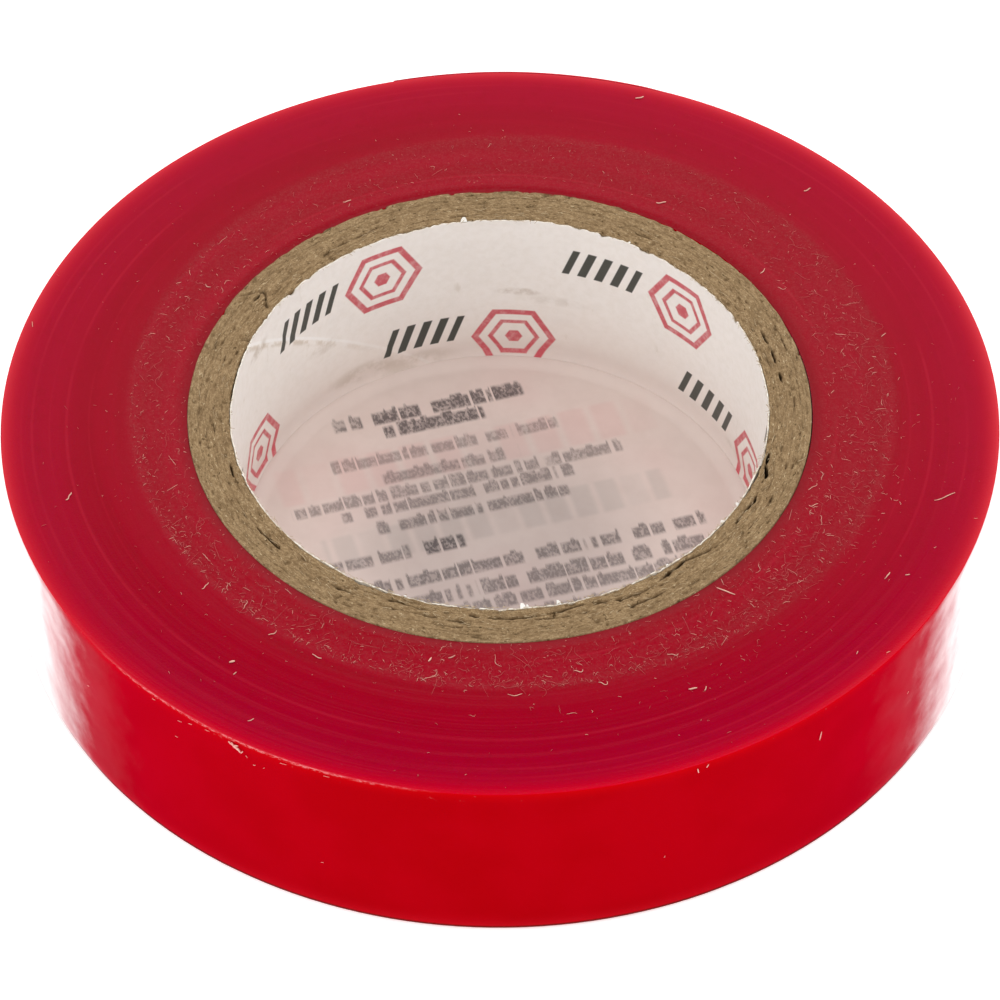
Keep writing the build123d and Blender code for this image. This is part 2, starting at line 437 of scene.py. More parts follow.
def liner_material():
    """Coated white paper with a generic repeat: a red hexagon and dark bars."""
    a = Mat("printed_liner", Roughness=0.40, Specular_IOR_Level=0.25,
            Subsurface_Weight=0.08, Subsurface_Scale=0.5 * MM)
    a.polar()
    a.p.inputs["Subsurface Radius"].default_value = (1.0, 0.8, 0.6)
    paper, mottle, tooth = paper_noise(a, (0.91, 0.875, 0.830), (0.86, 0.820, 0.765))
    # Painted shade and painted red light from the tape, growing towards the bottom of the bore.
    bore_shade_and_red_light = a.z.ramp(Z0, Z0 + 8.0, 1.0, 0.0)
    paper = a.mix(bore_shade_and_red_light * 0.55, paper, (0.76, 0.660, 0.600))
    paper = a.mix(a.z.ramp(Z0, Z0 + 3.2, 0.85, 0.0), paper, (0.70, 0.590, 0.545))
    # Scuffs and glue stains.
    stain = a.noise(a.vec(a.c * 16.0, a.s * 16.0, a.z * 0.35), 1.0, 3.0, 0.6)
    paper = a.mix(stain.ramp(0.64, 0.80, 0.0, 0.35), paper, (0.56, 0.49, 0.38))
    # The lap's edge: a painted highlight on its ridge, and along one side painted shade mixed with grubby glue.
    across = ((a.phi - (a.z - Z0) * (56.0 / 15.0) - 105.5 + 180.0).mod(360.0) - 180.0) * (math.radians(1.0) * BORE_R)
    patchy = a.noise(a.pos, 0.75, 3.0, 0.65)
    up = a.z.ramp(Z0 + 3.0, Z0 + 9.0, 0.25, 1.0)
    paper = a.mix(across.inside(0.10, 0.75, 0.30) * patchy.ramp(0.40, 0.58) * up * 0.55, paper, (0.52, 0.42, 0.31))
    paper = a.mix(across.inside(-0.32, 0.06, 0.10) * up * 0.65, paper, (0.97, 0.96, 0.94))
    # Smudges: angle, height, half width and half height in mm, strength.
    for deg, zz, wide, tall, much in ((157.0, 13.0, 1.5, 0.55, 0.60), (133.0, 6.6, 1.6, 0.6, 0.35),
                                      (123.0, 1.6, 3.0, 0.9, 0.45), (110.0, 0.9, 3.5, 0.8, 0.40),
                                      (85.5, 7.3, 1.7, 0.40, 0.60), (77.0, 6.6, 2.6, 0.5, 0.25),
                                      (24.0, 1.4, 1.6, 0.5, 0.30), (-150.0, 9.0, 2.0, 0.7, 0.30),
                                      (-60.0, 5.0, 2.5, 0.6, 0.30)):
        du = ((a.phi - (deg - 180.0)).mod(360.0) - 180.0) * (math.radians(1.0) * BORE_R / wide)
        dv = (a.z - (Z0 + zz)) * (1.0 / tall)
        blot = (du * du + dv * dv).ramp(0.0, 1.6, 1.0, 0.0) * patchy.ramp(0.36, 0.60, 0.15, 1.0)
        paper = a.mix(blot * much, paper, (0.47, 0.39, 0.31))
    red_ink, dark_ink = (0.56, 0.035, 0.065), (0.028, 0.034, 0.026)
    arc = math.radians(1.0) * BORE_R
    for phi0, z0 in ((45.0, 10.75), (14.7, 2.35)):
        u = ((a.phi - (phi0 - 36.0)).mod(72.0) - 36.0) * arc
        v = a.z - (Z0 + z0)
        d = hexagon(u, v)
        line = d.inside(2.40, 2.92, 0.07).max(d.inside(1.42, 1.78, 0.07)).max(d.inside(-1.0, 0.60, 0.07))
        paper = a.mix(line * mottle.ramp(0.25, 0.6, 0.66, 0.90), paper, red_ink)
    for phi0, z0 in ((66.0, 11.15), (35.6, 3.45)):
        u = ((a.phi - (phi0 - 36.0)).mod(72.0) - 36.0) * arc
        v = a.z - (Z0 + z0)
        lean = u + v * 0.35
        bars = (lean / 1.36 + 0.5).mod(1.0).inside(0.24, 0.76, 0.035)
        bars = bars * lean.inside(-2.95, 2.95, 0.05) * v.inside(-1.32, 1.32, 0.06)
        paper = a.mix(bars * 0.95, paper, dark_ink)
    a.colour(paper)
    a.rough(mottle.ramp(0.3, 0.7, 0.30, 0.42))
    a.bump(mottle * 0.03 + tooth * 0.010, 0.5, 1.0)
    return a.m


TEXT_ROWS = (        # across, from, to, half height, strength
    (15.15, -9.2, 6.2, 0.62, 0.95), (13.55, -5.6, 2.6, 0.62, 0.95),
    (10.85, -10.5, 7.8, 0.52, 0.55), (8.70, -6.9, 4.1, 0.52, 0.60),
    (7.00, -14.6, 11.9, 0.52, 0.62), (5.60, -11.0, 8.3, 0.52, 0.66),
    (3.70, -8.7, 6.6, 0.52, 0.70), (0.80, -16.0, -6.9, 0.52, 0.70),
    (0.85, -6.0, -2.6, 0.66, 0.95), (-2.10, -16.5, 15.8, 0.55, 0.78),
    (-4.25, -15.5, 15.2, 0.60, 0.74), (-6.00, -17.0, 14.0, 0.55, 0.70),
    (-7.80, -14.5, 13.5, 0.55, 0.70), (-10.2, -12.0, 9.0, 0.55, 0.66),
    (-12.0, -9.0, 11.0, 0.55, 0.66), (-14.4, -10.0, 6.0, 0.62, 0.70),
)


def label_material(inside):
    """Thin label. The face seen through the bore has rows of grey marks that
    only suggest small print, and the other face's blocks show through it."""
    a = Mat("label_inside" if inside else "label_outside", Roughness=0.55 if inside else 0.30,
            Specular_IOR_Level=0.12 if inside else 0.4)
    a.polar()
    if inside:
        # This face's paper is painted darker and pinker than the other face's, as painted shade of the bore and red
        # light from the tape.
        paper, mottle, tooth = paper_noise(a, (0.700, 0.575, 0.530), (0.660, 0.535, 0.490), 0.5)
        # Painted shade, darker and pinker towards the front of the bore.
        front = a.y.ramp(-20.0, 12.0, 1.0, 0.0)
        paper = a.mix(front * 0.65, paper, (0.600, 0.500, 0.470))
    else:
        paper, mottle, tooth = paper_noise(a, (0.82, 0.80, 0.77), (0.78, 0.755, 0.72), 0.5)
    tx, ty = math.cos(math.radians(16.0)), math.sin(math.radians(16.0))
    t = a.x * tx + a.y * ty
    n = a.y * tx - a.x * ty
    if inside:
        # Blocks of the other face, mirrored and faint.
        blocks = ((3.85 + 0.65) / 2, 1.60, -13.2, 14.0, 2.10, 0.22, (0.30, 0.29, 0.27))
        reds = (9.9, 1.9, -15.0, 15.5, 2.6, 0.16, (0.62, 0.22, 0.22))
        for n0, half, t0, t1, pitch, strength, ink in (blocks, reds):
            cell = (t / pitch).mod(1.0)
            odd = (t / pitch).floor().mod(5.0).ramp(0.4, 0.6)
            m = n.inside(n0 - half, n0 + half, 0.25) * t.inside(t0, t1, 0.3)
            m = m * cell.inside(0.10, 0.88, 0.12) * (odd * 0.6 + 0.4)
            paper = a.mix(m * strength, paper, ink)
        blush = a.noise(a.pos, 0.09, 2.0, 0.5)
        paper = a.mix(blush.ramp(0.50, 0.72, 0.0, 0.25), paper, (0.66, 0.44, 0.42))
        # Small print: uprights of uneven height, broken into words.
        stroke = a.noise(a.vec(t * 2.3, n * 0.9, 3.7), 1.0, 1.0, 0.5)
        fine = a.noise(a.vec(t * 5.2, n * 2.6, 9.1), 1.0, 1.0, 0.5)
        letters = (stroke.ramp(0.36, 0.56) * 0.5 + fine.ramp(0.40, 0.60) * 0.65).clamp()
        total = None
        for k, (n0, t0, t1, half, strength) in enumerate(TEXT_ROWS):
            word = a.noise(a.vec(t * 0.62, 7.3 * k + 1.5, 0.5), 1.0, 0.0, 0.5)
            gaps = (word - 0.5).abs().ramp(0.018, 0.040)
            tall = a.noise(a.vec(t * 1.9, 3.1 * k, 5.5), 1.0, 0.0, 0.5).ramp(0.55, 0.62, 0.0, 0.30)
            up = (n - n0) - tall
            row = up.inside(-half - 0.9, half, 0.22) * (n - n0).inside(-half, half + 0.6, 0.22)
            row = row * t.inside(t0, t1, 0.15) * gaps * strength
            total = row if total is None else total.max(row)
        paper = a.mix(total * letters.ramp(0.0, 1.0, 0.50, 1.0) * 0.92, paper, (0.085, 0.068, 0.070))
    else:
        # Outside: a coloured band, a red row and a grey row of plain blocks.
        band = a.r.inside(LABEL_R - 5.3, LABEL_R - 0.8, 0.05)
        paper = a.mix(band * mottle.ramp(0.2, 0.6, 0.9, 1.0), paper, (0.50, 0.016, 0.030))
        rule = a.r.inside(LABEL_R - 6.3, LABEL_R - 6.05, 0.04)
        paper = a.mix(rule, paper, (0.05, 0.05, 0.05))
        t = a.x * tx + a.y * ty
        cellg = (t / 2.10).mod(1.0).inside(0.10, 0.86, 0.02)
        bar = n.inside(0.75, 3.75, 0.05) * t.inside(-12.6, 12.6, 0.05) * cellg
        paper = a.mix(bar, paper, (0.075, 0.075, 0.075))
        cellr = (t / 3.5).mod(1.0).inside(0.08, 0.90, 0.015)
        bar = n.inside(8.0, 11.8, 0.05) * t.inside(-14.0, 14.0, 0.05) * cellr
        paper = a.mix(bar, paper, (0.52, 0.018, 0.032))
        d = hexagon(t, n + 8.6)
        paper = a.mix(d.inside(3.6, 4.4, 0.04).max(d.inside(-1, 1.5, 0.04)), paper, (0.52, 0.018, 0.032))
    if inside:
        # Darker towards the middle, where nothing white lies close behind it.
        mid = (a.x * a.x + (a.y + 1.0) * (a.y + 1.0)).pow(0.5)
        paper = a.mix(mid.ramp(5.0, 16.5, 0.355, 0.0), paper, (0.0, 0.0, 0.0))
        # No line shows where the bore's paper meets the label.
        paper = a.mix(a.r.ramp(15.6, 19.8) * a.y.ramp(-10.0, 6.0, 0.2, 1.0) * 0.55, paper, (0.74, 0.640, 0.590))
    a.colour(paper)
    a.rough(mottle.ramp(0.3, 0.7, 0.40, 0.55))
    a.bump(mottle * 0.05 + tooth * 0.008, 0.5, 1.0)
    return a.m


def adhesive_material():
    """Sticky inner face of the tape: the same red, duller, with drag marks."""
    a = Mat("adhesive_face", Roughness=0.5, Specular_IOR_Level=0.5,
            Subsurface_Weight=0.1, Subsurface_Scale=0.4 * MM)
    a.polar()
    drag = a.noise(a.vec(a.c * 30.0, a.s * 30.0, a.z * 3.2), 1.0, 4.0, 0.65)
    blot = a.noise(a.pos, 2.2, 3.0, 0.6)
    red = a.mix(drag.ramp(0.35, 0.7), (0.29, 0.006, 0.012), (0.36, 0.020, 0.030))
    red = a.mix(blot.ramp(0.58, 0.72, 0.0, 0.5), red, (0.42, 0.055, 0.065))
    a.colour(red)
    a.rough(drag.ramp(0.3, 0.7, 0.32, 0.60))
    a.bump(drag * 0.05 + blot * 0.03, 0.8, 1.0)
    return a.m


def plain_paper_material(name, light, dark, rough=0.85, scale=2.0):
    a = Mat(name, Roughness=rough, Specular_IOR_Level=0.2)
    c, mottle, tooth = paper_noise(a, light, dark, scale)
    a.colour(c)
    a.bump(mottle * 0.03 + tooth * 0.02, 0.6, 1.0)
    return a.m


def glue_material():
    a = Mat("label_glue_film", Roughness=0.25, Specular_IOR_Level=0.5)
    blot = a.noise(a.pos, 1.4, 3.0, 0.6)
    a.colour(a.mix(blot.ramp(0.3, 0.7), (0.62, 0.52, 0.40), (0.72, 0.64, 0.52)))
    a.bump(blot, 0.5, 0.05)
    return a.m


FILM = film_material()
EDGE_TOP = cut_edge_material(True)
EDGE_BOTTOM = cut_edge_material(False)
BOARD = chipboard_material()
LINER = liner_material()
LINER_EDGE = plain_paper_material("liner_cut_edge", (0.80, 0.75, 0.67), (0.46, 0.37, 0.25), scale=3.5)
LABEL_IN = label_material(True)
LABEL_OUT = label_material(False)
ADHESIVE = adhesive_material()
GLUE = glue_material()
LINT = plain_paper_material("paper_lint", (0.76, 0.45, 0.35), (0.46, 0.16, 0.14), scale=1.3)
FLAKE = plain_paper_material("torn_film", (0.84, 0.46, 0.40), (0.66, 0.20, 0.18), scale=1.6)
DUST = plain_paper_material("red_paper_dust", (0.50, 0.115, 0.105), (0.40, 0.060, 0.065), scale=1.3)
TUFT = plain_paper_material("paper_tuft", (0.88, 0.86, 0.82), (0.70, 0.65, 0.58), scale=2.6)


# -------------------------------------------------------------------- winding
def spiral(theta):
    """Centre offset and radius of the tape's outer face at theta from the
    peel line, and the point there."""
    h = np.floor(theta / math.pi + 1e-9)
    far = np.mod(h, 2) == 0
    radius = R_TURN + TAPE_T / 2 * (h + 2)
    off = np.where(far, -TAPE_T / 4, TAPE_T / 4)
    ang = PEEL + theta
    return (off * PEEL_DIR[0] + radius * np.cos(ang),
            off * PEEL_DIR[1] + radius * np.sin(ang))


STOP = 2                                    # samples left to the free end's piece


def top_relief(theta, x, y):
    """Height of the wound edge above its nominal face."""
    turn = theta / TAU + TURNS
    phi = np.mod(np.arctan2(y, x) / TAU, 1.0)
    r = np.hypot(x, y)
    h = 0.0020 * lattice(turn * 0.93, phi * 7, 11, 7)
    h += 0.0055 * lattice(turn * 0.27, phi * 3, 12, 3)
    h += 0.020 * lattice(turn * 0.085, phi * 2, 13, 2)
    h += 0.0010 * lattice(turn * 2.0, phi * 19, 14, 19)
    h *= smooth(37.2, 35.5, r) * 0.6 + 0.4
    h -= 0.075 * smooth(24.0, 23.05, r)
    return h


def build_winding():
    n = STEPS
    i = np.arange(0, TURNS * n - STOP + 1)
    theta = (i / n - TURNS) * TAU
    gx, gy = spiral(theta)
    ux, uy = spiral(theta - TAU)
    mx, my = (gx + ux) / 2, (gy + uy) / 2
    last = i >= (TURNS - 1) * n - STOP
    phi = np.arctan2(gy, gx)
    verts, faces, fmat = [], [], []
    base = 0

    def add(x, y, z):
        nonlocal base
        verts.append(np.stack([x, y, z], -1))
        start = base
        base += len(x)
        return start

    lip = 0.035 * smooth(26, 12, np.abs(around(phi, 240.0))) * (
        0.55 + 0.45 * lattice(phi / TAU * 170, i * 0, 21)) * last
    pull = np.where(last, 0.020, 0.0)
    nx, ny = gx / np.hypot(gx, gy), gy / np.hypot(gx, gy)
    top_g = add(gx - nx * pull, gy - ny * pull,
                Z1 - 0.003 + top_relief(theta, gx, gy) + lip)
    top_m = add(mx, my, Z1 + top_relief(theta, mx, my) + lip * 0.8)
    bot_g = add(gx - nx * pull, gy - ny * pull,
                Z0 + 0.012 + 0.0 * gx)
    bot_m = add(mx, my, Z0 + 0.0 * mx + 0.004)

    k = np.arange(n, TURNS * n - STOP)
    faces.append(np.stack([top_g + k, top_g + k + 1, top_m + k + 1, top_m + k], -1))
    fmat.append(np.zeros(len(k)))
    faces.append(np.stack([top_m + k, top_m + k + 1, top_g + k + 1 - n, top_g + k - n], -1))
    fmat.append(np.zeros(len(k)))
    faces.append(np.stack([bot_m + k, bot_m + k + 1, bot_g + k + 1, bot_g + k], -1))
    fmat.append(np.full(len(k), 2))
    faces.append(np.stack([bot_g + k - n, bot_g + k + 1 - n, bot_m + k + 1, bot_m + k], -1))
    fmat.append(np.full(len(k), 2))

    # Outer wall: rows from the top rim down, with a slightly soft rim.
    w = np.where(last)[0]
    wx, wy, wnx, wny, wphi = gx[w], gy[w], nx[w], ny[w], np.mod(phi[w] / TAU, 1.0)
    levels = [(Z1 - 0.030, -0.004), (Z1 - 0.10, 0.0), (Z1 - 0.8, 0.0), (Z1 - 3.0, 0.0),
              (Z1 - 6.0, 0.0), (Z1 - 9.0, 0.0), (Z0 + 3.0, 0.0), (Z0 + 0.8, 0.0), (Z0 + 0.10, 0.0),
              (Z0 + 0.03, -0.004)]
    rows = [top_g + w]
    for q, (z, dr) in enumerate(levels):
        wob = 0.012 * lattice(z * 0.22, wphi * 31, 31, 31) + 0.010 * lattice(z * 0.1, wphi * 9, 32, 9)
        wob = wob - 0.012
        rows.append(add(wx + wnx * (dr + wob), wy + wny * (dr + wob),
                        np.full(len(w), z) + (lip[w] * 0.9 if q == 0 else 0)) + np.arange(len(w)))
    rows.append(bot_g + w)
    for a, b in zip(rows[:-1], rows[1:]):
        faces.append(np.stack([a[:-1], b[:-1], b[1:], a[1:]], -1))
        fmat.append(np.ones(len(w) - 1))
    loops = [f for block in faces for f in block.tolist()]
    mats = np.concatenate(fmat).astype(int).tolist()

    # Inner wall against the core.
    k = np.arange(0, n)
    loops += np.stack([top_g + k, top_g + k + 1, bot_g + k + 1, bot_g + k], -1).tolist()
    mats += [1] * n
    # Cut start of the strip at the core, and its end at the peel line.
    loops.append([top_g + n, top_m + n, top_g, bot_g, bot_m + n, bot_g + n])
    mats.append(1)
    e = TURNS * n - STOP
    inner = e - n
    column = [int(r[-1]) for r in rows]
    first = [int(r[0]) for r in rows]
    loops.append([top_m + e] + column + [bot_m + e] + first[::-1])
    mats.append(1)
    v = np.concatenate(verts)
    ob = mesh_object("winding", v, loops, [EDGE_TOP, FILM, EDGE_BOTTOM], mats, sharp=40.0)
    return ob


winding = build_winding()
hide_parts("tape_winding", "tape_outer_turn")
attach(winding, "roll")


# ------------------------------------------------------------------- free end
def strip_piece(name, s0, s1, step=0.25, close_start=True, close_end=True):
    """Length of the last tape between two arc positions from the peel line."""
    count = max(2, int(round((s1 - s0) / step)) + 1)
    s = np.linspace(s0, s1, count)
    theta = s / (R_TURN + TAPE_T)
    ox, oy = spiral(theta)
    rr = np.hypot(ox, oy)
    nx, ny = ox / rr, oy / rr
    lift = CLEAR * smooth(-2.0, 0.0, s) - 0.010
    tail = smooth(17.0, 20.0, s)
    thin = 0.62 * smooth(9.0, 20.0, s)             # drawn thin where it was torn
    zs = np.array([Z0, Z0 + 0.03, Z0 + 0.10, Z0 + 0.8, Z0 + 3, Z0 + 6, Z0 + 9, Z0 + 12,
                   Z1 - 0.8, Z1 - 0.10, Z1 - 0.03, Z1])
    pull = np.array([0.014, 0.004, 0, 0, 0, 0, 0, 0, 0, 0, 0.004, 0.014])
    verts, faces, fm = [], [], []
    m = len(zs)
    phi = np.mod(np.arctan2(oy, ox) / TAU, 1.0)
    for side in (0, 1):                      # 0 outer film, 1 adhesive face
        for q in range(m):
            wob = 0.012 * lattice(zs[q] * 0.22, phi * 31, 31, 31) + 0.010 * lattice(zs[q] * 0.1, phi * 9, 32, 9) - 0.012
            wob = wob * (1 - smooth(-2.0, -0.5, s)) + 0.006 * smooth(-1.0, 0.0, s)
            d = lift + wob - (TAPE_T - 0.004) * (side + thin * (1 - side)) + (pull[q] * (1 if side else -1))
            edge = 0.03 * lattice(s * 0.9, q * 0 + 3.3, 41) * smooth(Z0 + 3, Z0, zs[q]) * 0
            cut = tail * 0.05 * lattice(zs[q] * 1.7, 0.5, 43)
            verts.append(np.stack([ox + nx * d - ny * cut, oy + ny * d + nx * cut,
                                   np.full(count, zs[q]) + edge], -1))
    v = np.concatenate(verts)
    idx = np.arange(2 * m * count).reshape(2, m, count)
    for q in range(m - 1):
        for c in range(count - 1):
            faces.append([idx[0, q, c], idx[0, q, c + 1], idx[0, q + 1, c + 1], idx[0, q + 1, c]])
            fm.append(0)
            faces.append([idx[1, q + 1, c], idx[1, q + 1, c + 1], idx[1, q, c + 1], idx[1, q, c]])
            fm.append(1)
    for c in range(count - 1):
        faces.append([idx[0, m - 1, c], idx[0, m - 1, c + 1], idx[1, m - 1, c + 1], idx[1, m - 1, c]])
        fm.append(2)
        faces.append([idx[1, 0, c], idx[1, 0, c + 1], idx[0, 0, c + 1], idx[0, 0, c]])
        fm.append(2)
    for q in range(m - 1):
        faces.append([idx[0, q, 0], idx[0, q + 1, 0], idx[1, q + 1, 0], idx[1, q, 0]])
        faces.append([idx[0, q + 1, -1], idx[0, q, -1], idx[1, q, -1], idx[1, q + 1, -1]])
        fm += [2, 2]
    ob = mesh_object(name, v, faces, [FILM, ADHESIVE, EDGE_TOP], fm, sharp=50.0)
    return ob


def at_arc(s, z=7.5):
    x, y = spiral(np.array([s / (R_TURN + TAPE_T)]))
    return (float(x[0]) * MM, float(y[0]) * MM, z * MM)


start_s = -STOP * TAU / STEPS * (R_TURN + TAPE_T)
cuts = [start_s] + [SEG * (k - 0.5) for k in range(1, 6)] + [SEG * 5]
for k in range(1, 6):
    piece = strip_piece(f"free_end_{k}", cuts[k - 1], cuts[k])
    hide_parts(f"end_film_{k}", f"end_adhesive_{k}")
    if k == 1:
        at_arc(-0.1)
        at_arc(1.6)
        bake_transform(piece)
    else:
        at_arc(cuts[k - 1])
        at_arc(cuts[k])
        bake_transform(piece)
tip = strip_piece("free_end_tip", cuts[5], cuts[6])
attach(tip, "end_5")


# ----------------------------------------------------------------------- core
# Where the first join between plies runs at the front and right: angle, radius.
JOIN_1 = ((-106, 20.62), (-100.8, 20.65), (-96.4, 20.57), (-92.9, 20.81), (-89.1, 20.89), (-84.9, 20.89),
          (-81.9, 20.83), (-78.7, 20.64), (-74.4, 20.42), (-71.0, 20.55), (-66.1, 20.95), (-61.8, 21.10),
          (-57.7, 20.87), (-54.2, 20.46), (-49.5, 20.28), (-43.9, 20.84), (-39.8, 20.93), (-34.7, 20.77),
          (-30.7, 20.72), (-27.9, 20.97), (-23.1, 20.61), (-19.9, 20.71), (-17.6, 20.41), (-14.1, 20.25),
          (-10, 20.45), (-5, 20.62))
CRACKS = (      # centre angle, half width, interface, depth, gap
    (-16.5, 5.0, 1, 0.90, 0.30), (-31.0, 11.0, 1, 0.60, 0.15), (-48.0, 9.0, 1, 0.50, 0.12),
    (-64.0, 9.5, 1, 0.50, 0.13), (-77.0, 5.0, 1, 0.40, 0.10), (-91.0, 11.0, 1, 0.60, 0.15),
    (-121.0, 4.0, 2, 0.35, 0.10), (-141.0, 5.0, 2, 0.45, 0.12), (14.0, 8.5, 2, 0.45, 0.12),
    (-109.0, 4.5, 1, 0.35, 0.08), (146.0, 3.0, 3, 0.40, 0.12), (-30.0, 6.0, 3, 0.20, 0.06),
    (-62.0, 5.0, 3, 0.22, 0.06), (-79.0, 3.0, 2, 0.30, 0.09), (100.0, 5.0, 1, 0.2, 0.06),
    (-101.0, 5.0, 2, 0.25, 0.07), (60.0, 6.0, 2, 0.22, 0.06), (-165.0, 6.0, 1, 0.25, 0.07),
    (120.0, 7.0, 2, 0.18, 0.05), (35.0, 5.0, 1, 0.20, 0.06),
)


def wander(interface, phi):
    """How far a join between plies strays from its true circle."""
    p = phi / TAU % 1.0
    if interface in (0, 5):
        return 0.0 * p
    free = 0.10 * lattice(p * 23, 0.5 + interface * 3, 51 + interface)
    if interface == 1:
        deg = around(phi, 0.0)
        pts = np.array(JOIN_1, float)
        told = np.interp(deg, pts[:, 0], pts[:, 1]) - PLY_R[1]
        on = smooth(-108, -100, deg) * smooth(-3, -11, deg)
        free = free * (1 - on) + told * on
    return free + 0.08 * lattice(p * 110, 0.5, 61 + interface) + 0.06 * lattice(p * 300, 0.5, 66 + interface)


def crack(interface, phi):
    depth, gap = np.zeros_like(phi), np.zeros_like(phi)
    p = phi / TAU % 1.0
    for centre, half, where, d, g in CRACKS:
        if where == interface:
            on = smooth(1.0, 0.6, np.abs(around(phi, centre)) / half)
            on = on * np.clip(0.45 + 1.1 * lattice(p * 170, where * 1.0, 71 + where)
                              + 0.5 * lattice(p * 41, where * 1.0, 81 + where), 0.0, 1.0)
            depth = np.maximum(depth, on * d)
            gap = np.maximum(gap, on * g)
    return depth, gap


def board_relief(r, phi, seed):
    p = phi / TAU % 1.0
    h = 0.060 * lattice(r * 3.1, p * 190, 91, 190) + 0.050 * lattice(r * 1.9, p * 120, 96, 120)
    h += 0.030 * lattice(r * 7.0, p * 75, 92, 75)
    h += 0.030 * lattice(r * 9.0, p * 430, 93, 430)
    h += 0.030 * lattice(r * 1.1, p * 25, 94, 25)
    pit = smooth(0.50, 0.85, lattice(r * 4.3, p * 240, 95, 240))
    h -= 0.16 * pit
    # a cut across all plies at the upper left, and a short one at the lower left
    for centre, r0, r1, bend, d in ((147.2, 20.4, 22.95, 1.6, 0.26), (-121.7, 21.7, 22.6, 0.3, 0.16),
                                    (159.7, 19.9, 20.7, 0.2, 0.22)):
        mid = centre + bend * np.cos((r - r0) / (r1 - r0) * TAU)
        off = np.radians(around(phi, mid)) * r
        h -= d * np.exp(-(off / 0.13) ** 2) * smooth(r0 - 0.15, r0 + 0.15, r) * smooth(r1 + 0.15, r1 - 0.15, r)
    return h


N_CORE = 960
N_BOARD = 1500


def build_ply(i):
    n = N_BOARD
    phi = np.arange(n) / n * TAU
    p = phi / TAU
    inner = PLY_R[i - 1] + wander(i - 1, phi)
    outer = PLY_R[i] + wander(i, phi)
    di, gi = crack(i - 1, phi)
    do, go = crack(i, phi)
    if i == 1:
        # The bore's top edge: torn fibres, small nicks and one gash.
        nick = np.clip(lattice(p * 230, 0.5, 101) * 0.8 + lattice(p * 67, 0.5, 102) * 0.6 - 0.15, 0, 1)
        front = 0.30 + 0.70 * smooth(130, 70, np.abs(around(phi, -60)))
        gash = smooth(3.6, 1.2, np.abs(around(phi, -15.5)))
        di = np.maximum(di, 0.30 * nick * front + 0.9 * gash)
        gi = np.maximum(gi, 0.22 * nick * front + 0.42 * gash)
    if i == 5:
        outer = outer + 0.115
    width = outer - inner
    fr = np.array([0.0, 0.10, 0.22, 0.36, 0.50, 0.64, 0.78, 0.90, 1.0])
    rows_r, rows_z = [], []
    # top face from outside to inside, so that the profile runs anticlockwise
    for f in fr[::-1]:
        rr = inner + width * f
        edge_i = smooth(0.26, 0.0, f) if i > 0 else 0
        edge_o = smooth(0.74, 1.0, f)
        rr = rr + gi * 0.5 * edge_i * (1 if f < 0.5 else 0) - go * 0.5 * edge_o * (1 if f > 0.5 else 0)
        z = Z1 + board_relief(rr, phi, i) - di * edge_i - do * edge_o
        groove = 0.020 if 0 < i < 5 else 0.0
        z = z - groove * (smooth(0.12, 0.0, f) + smooth(0.88, 1.0, f))
        rows_r.append(rr)
        rows_z.append(z)
    # down the inner wall, in along the bottom, and up the outer wall
    lip = 0.06 if i == 1 else 0.0
    rows_r.append(inner + gi * 0.30)
    rows_z.append(np.full(n, Z1 - 0.95) - di * 0.4)
    rows_r.append(inner)
    rows_z.append(np.full(n, Z1 - 2.4))
    rows_r.append(inner)
    rows_z.append(np.full(n, Z0))
    rows_r.append(outer)
    rows_z.append(np.full(n, Z0))
    rows_r.append(outer)
    rows_z.append(np.full(n, Z1 - 2.4))
    rows_r.append(outer - go * 0.30)
    rows_z.append(np.full(n, Z1 - 0.95) - do * 0.4)
    ob = ring_mesh(f"core_board_{i}", np.array(rows_r), np.array(rows_z), phi, [BOARD], sharp=None)
    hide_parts(f"core_ply_{i}")
    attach(ob, "roll")
    return ob


for i in range(1, 6):
    build_ply(i)


# ---------------------------------------------------------------------- liner
def build_liner():
    n = N_CORE
    phi = np.arange(n) / n * TAU
    p = phi / TAU
    ragged = (0.08 * lattice(p * 140, 0.5, 111, None) + 0.09 * lattice(p * 410, 0.5, 112)
              + 0.06 * lattice(p * 37, 0.5, 113))
    ragged = ragged - 0.03
    torn = smooth(0.45, 0.95, lattice(p * 190, 0.5, 114)) * 0.30
    gash = smooth(3.4, 1.4, np.abs(around(phi, -15.0))) * 0.55
    top = Z1 + ragged - torn - gash
    curl = 0.05 * lattice(p * 90, 0.5, 115) - 0.02
    zf = np.concatenate([[0.0, 0.012, 0.03, 0.06], np.linspace(0.10, 0.92, 27), [0.955, 0.98, 0.993, 1.0]])
    rows_r, rows_z = [], []

    def inner_r(z, f):
        # lap seam: its line falls from 160 degrees at the top to 105 at the base
        line = 105.5 + (z - Z0) / 15.0 * 56.0
        d = around(phi, 0) - line
        d = (d + 180) % 360 - 180
        mm = d * math.radians(1) * BORE_R
        lap = 0.085 * smooth(-0.10, 0.10, mm) * smooth(9.0, 2.0, mm)
        buckle = 0.030 * lattice(z * 0.35, p * 17, 116, 17) + 0.012 * lattice(z * 0.9, p * 60, 117, 60)
        return BORE_R + 0.03 - lap - buckle * 0.8

    for f in zf[::-1]:
        z = Z0 + (top - Z0) * f
        r = inner_r(z, f) + (curl * smooth(0.97, 1.0, f))
        r = r - 0.45 * smooth(0.06, 0.0, f)          # swept into the label's glue
        rows_r.append(r)
        rows_z.append(z)
    rows_r.append(np.full(n, LINER_R - 0.01))
    rows_z.append(np.full(n, Z0))
    rows_r.append(np.full(n, LINER_R - 0.01))
    rows_z.append(np.full(n, Z1 - 1.2))
    rows_r.append(rows_r[0] + 0.085)
    rows_z.append(rows_z[0] - 0.012)
    r, z = np.array(rows_r), np.array(rows_z)
    m = len(zf)
    row_mat = [0] * (m - 1) + [1, 1, 1, 1]
    ob = ring_mesh("bore_liner", r, z, phi, [LINER, LINER_EDGE], row_mat, sharp=50.0)
    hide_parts("core_liner")
    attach(ob, "roll")
    return ob


build_liner()


